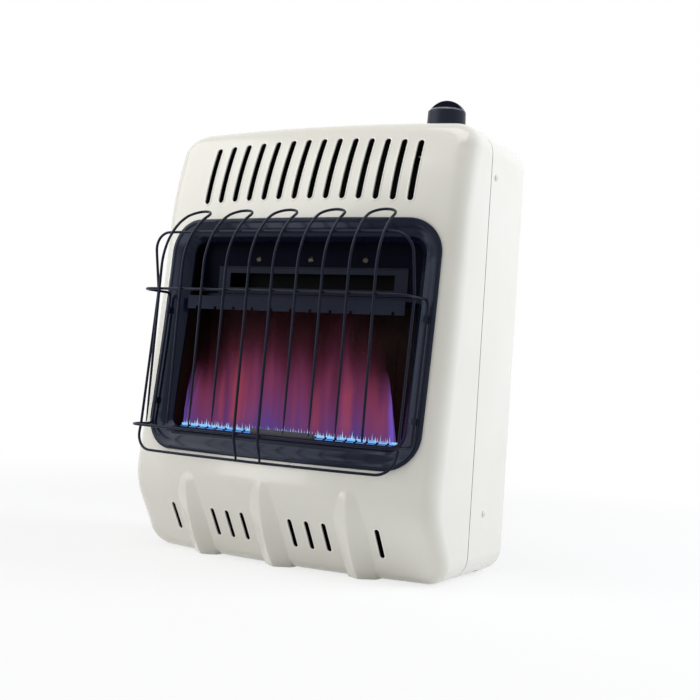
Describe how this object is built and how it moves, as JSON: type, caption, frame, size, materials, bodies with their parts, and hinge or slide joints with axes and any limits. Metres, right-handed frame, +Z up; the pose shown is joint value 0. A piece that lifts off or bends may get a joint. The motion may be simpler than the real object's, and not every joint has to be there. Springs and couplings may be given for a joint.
{
  "type": "ventless propane wall heater",
  "caption": "Ventless blue-flame wall heater: cream drawn-steel cover with vent slots, black window bezel, wire guard over the open firebox, and a push-and-turn control knob on top.",
  "frame": {"origin": "middle of the bottom edge, on the wall plane (the housing's rear edge)", "axes": "+Z up, +Y into the wall, +X to the right of someone facing the heater"},
  "size_m": [0.4664, 0.2989, 0.6285],
  "materials": {
    "enamel_cream": "glossy cream enamel",
    "enamel_black": "glossy blue-black enamel",
    "guard_wire": "black coated steel wire",
    "firebox_steel": "heat-darkened sheet steel",
    "zinc_steel": "zinc-plated steel",
    "brass": "machined brass",
    "cast_aluminium": "die-cast aluminium",
    "knob_plastic": "black moulded plastic",
    "ceramic": "white ceramic",
    "lead_rubber": "silicone lead"
  },
  "bodies": {
    "casing": {"rear_housing": "enamel_cream", "front_cover": "enamel_cream", "window_bezel": "enamel_black", "guard_hairpins": "guard_wire", "guard_frame": "guard_wire", "guard_loop": "guard_wire", "guard_clips": "guard_wire", "firebox_back": "firebox_steel", "firebox_left_side": "firebox_steel", "firebox_right_side": "firebox_steel", "firebox_floor": "firebox_steel", "hood": "enamel_black", "hood_frame": "enamel_black", "hood_lip": "enamel_black", "hood_screws": "zinc_steel", "burner": "zinc_steel", "port_plate": "zinc_steel", "centre_plate": "enamel_black", "burner_left_bracket": "zinc_steel", "burner_right_bracket": "zinc_steel", "air_shutter": "zinc_steel", "injector": "brass", "injector_holder": "zinc_steel", "pilot_bracket": "zinc_steel", "pilot_burner": "brass", "thermocouple": "zinc_steel", "spark_electrode": "ceramic", "valve_bracket": "zinc_steel", "valve_body": "cast_aluminium", "inlet_fitting": "brass", "regulator": "cast_aluminium", "regulator_bracket": "zinc_steel", "supply_tube": "cast_aluminium", "burner_feed": "cast_aluminium", "pilot_feed": "cast_aluminium", "thermocouple_lead": "brass", "spark_lead": "lead_rubber", "tube_nuts": "brass", "wall_bracket": "zinc_steel", "side_screws": "zinc_steel"},
    "push_body": {"push_collar": "brass"},
    "knob_body": {"control_knob": "knob_plastic", "valve_stem": "brass"}
  },
  "joints": [
    {"name": "knob_push", "type": "slide", "parent": "casing", "child": "push_body", "axis": [0, 0, -1], "range_m": [0, 0.003], "stiffness_N_per_m": 800},
    {"name": "knob_turn", "type": "hinge", "parent": "push_body", "child": "knob_body", "pos_m": [0.152, -0.094, 0.6], "axis": [0, 0, 1], "range_deg": [0, 180]}
  ]
}
